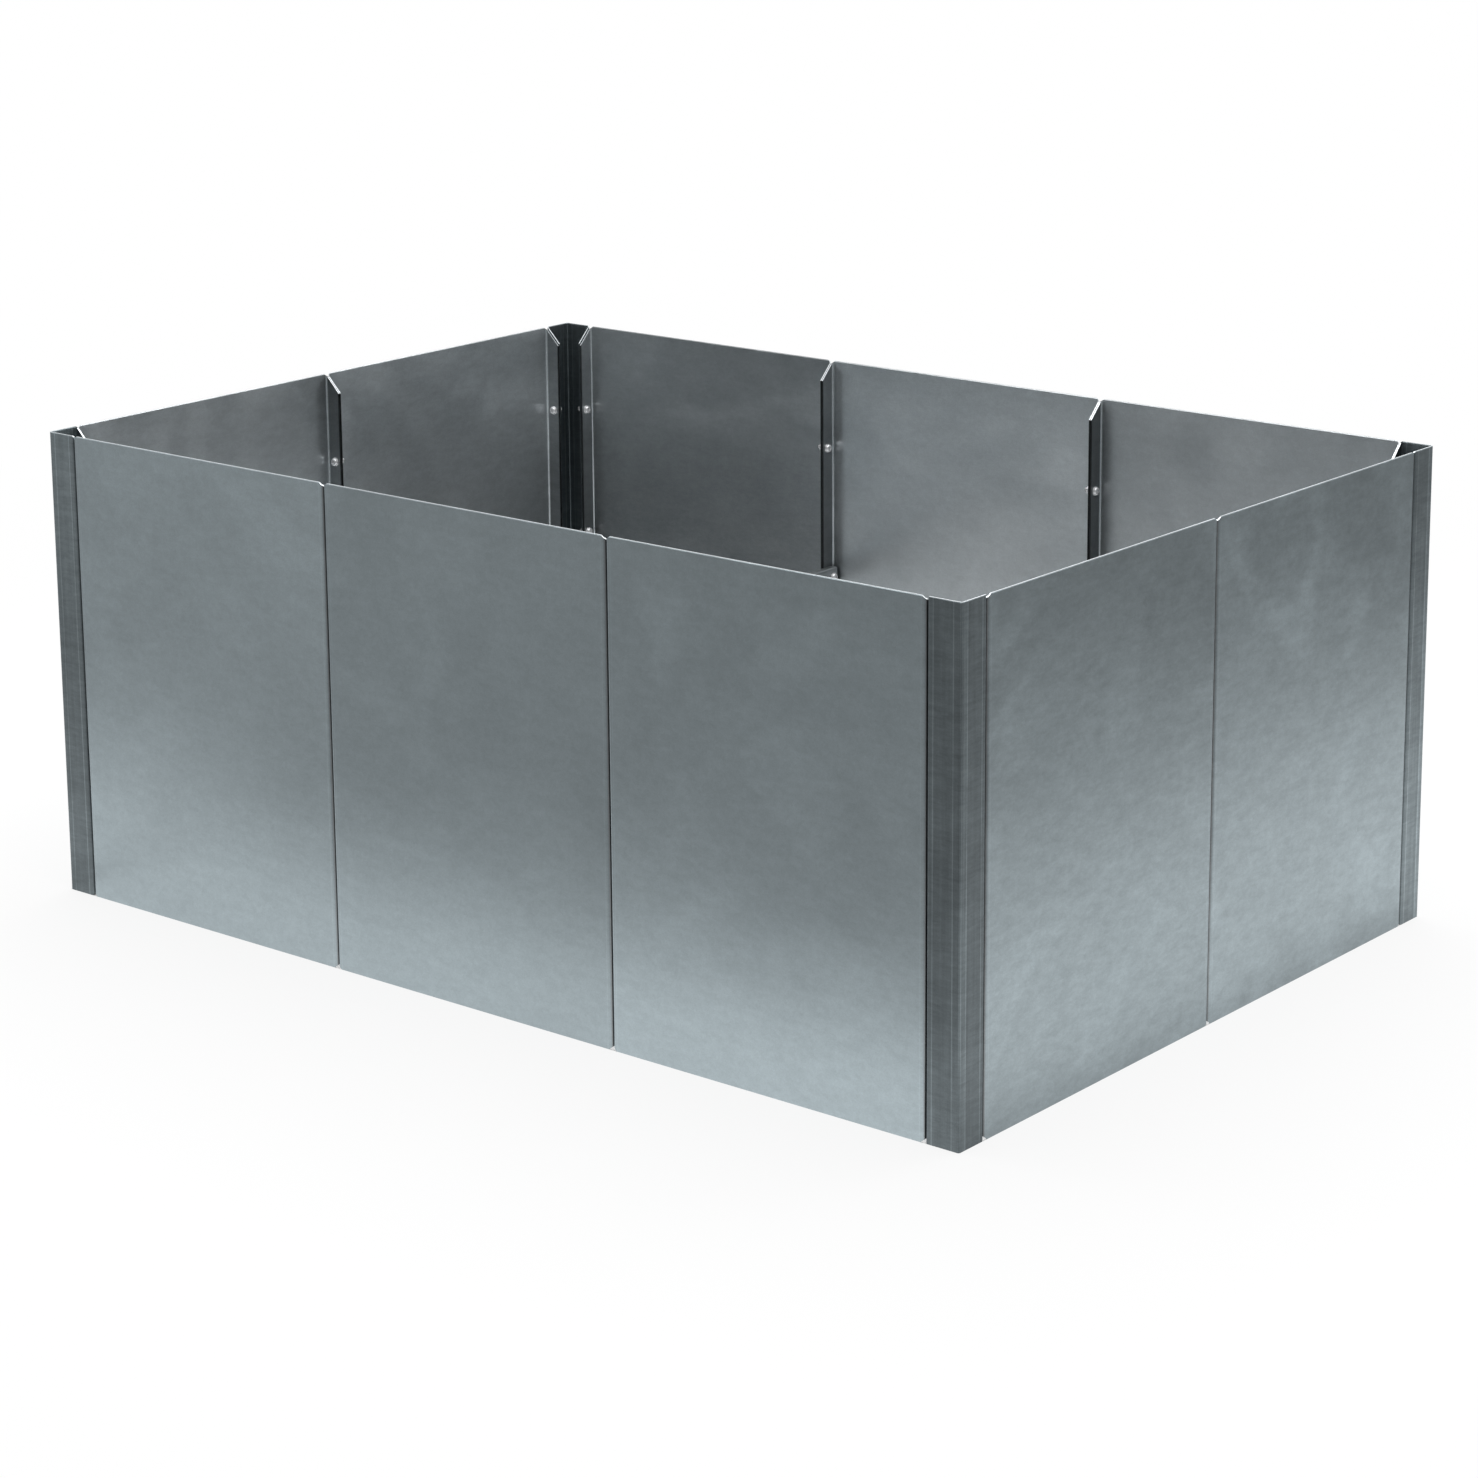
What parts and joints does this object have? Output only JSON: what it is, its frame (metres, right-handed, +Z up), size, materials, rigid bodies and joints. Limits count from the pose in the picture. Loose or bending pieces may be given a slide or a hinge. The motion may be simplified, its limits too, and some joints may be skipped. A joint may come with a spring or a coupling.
{
  "type": "raised garden bed",
  "caption": "Rectangular raised garden bed of folded galvanised sheet panels and corner posts, bolted flange to flange and braced by cross ties, open at the top and bottom.",
  "frame": {"origin": "on the ground, under the middle of the bed", "axes": "+X along the long walls to the right, +Y from the front wall to the back wall, +Z up"},
  "size_m": [1.41, 0.97, 0.6],
  "materials": {
    "panel_sheet": "hot-dip galvanised sheet, dull satin",
    "post_sheet": "hot-dip galvanised sheet, dull satin, with faint press-brake lines",
    "tie_channel": "hot-dip galvanised channel, dull satin",
    "fasteners": "bright zinc plated"
  },
  "bodies": {
    "root": {"panel_front_1": "panel_sheet", "panel_front_2": "panel_sheet", "panel_front_3": "panel_sheet", "panel_back_1": "panel_sheet", "panel_back_2": "panel_sheet", "panel_back_3": "panel_sheet", "panel_left_1": "panel_sheet", "panel_left_2": "panel_sheet", "panel_right_1": "panel_sheet", "panel_right_2": "panel_sheet", "corner_post_front_left": "post_sheet", "corner_post_front_right": "post_sheet", "corner_post_back_right": "post_sheet", "corner_post_back_left": "post_sheet", "tie_bar_1": "tie_channel", "tie_bar_2": "tie_channel", "bolts_m6x16": "fasteners", "bolts_m6x25": "fasteners", "nuts_m6": "fasteners", "washers_m6": "fasteners"}
  },
  "joints": []
}
